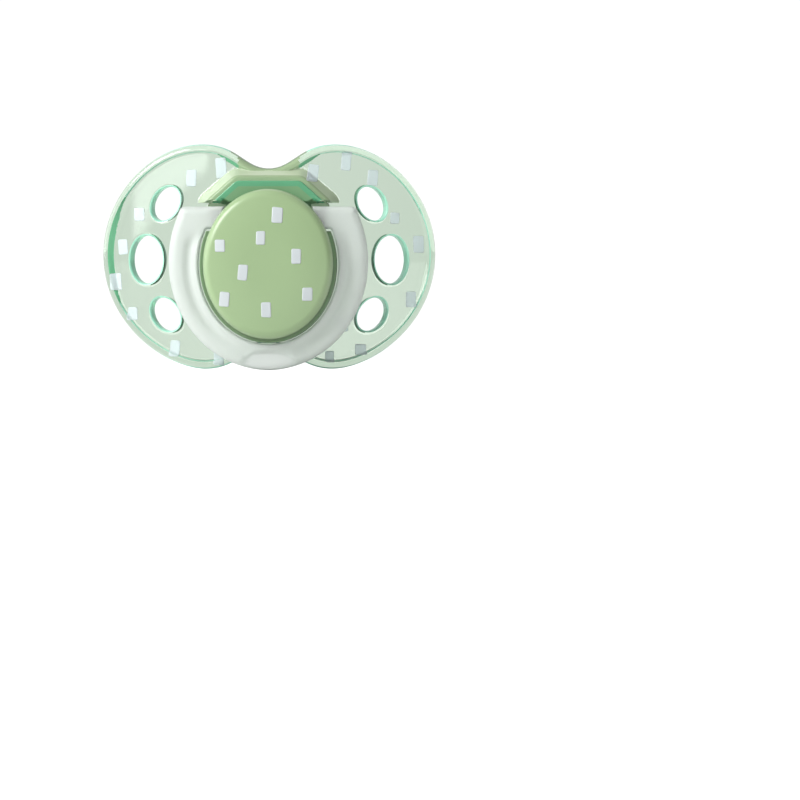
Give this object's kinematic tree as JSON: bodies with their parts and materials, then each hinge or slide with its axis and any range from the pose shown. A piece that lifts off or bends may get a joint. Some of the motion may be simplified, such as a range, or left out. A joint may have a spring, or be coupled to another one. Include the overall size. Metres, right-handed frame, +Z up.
{
  "type": "pacifier",
  "caption": "Baby's pacifier with a winged, vented shield, a hollow rounded teat, a domed oval knob and a U-shaped handle that swings out from the shield.",
  "frame": {"origin": "centre of the bounding box", "axes": "+X to the right seen from the knob's side, along the shield's width; +Z up towards the nose notch; +Y from the knob towards the teat's tip"},
  "size_m": [0.06, 0.0422, 0.0408],
  "materials": {
    "tinted_plastic": "polished, clear green tint",
    "silicone": "satin, clear",
    "white_plastic": "satin",
    "green_plastic": "polished",
    "milky_plastic": "satin, translucent"
  },
  "bodies": {
    "shield_body": {"shield": "tinted_plastic", "teat": "silicone", "teat_plug": "white_plastic", "knob": "green_plastic"},
    "handle_body": {"handle": "milky_plastic"}
  },
  "joints": [
    {"name": "handle_swing", "type": "hinge", "parent": "shield_body", "child": "handle_body", "pos_m": [0, -0.01395, 0.00705], "axis": [-1, 0, 0], "range_deg": [0, 90]}
  ]
}
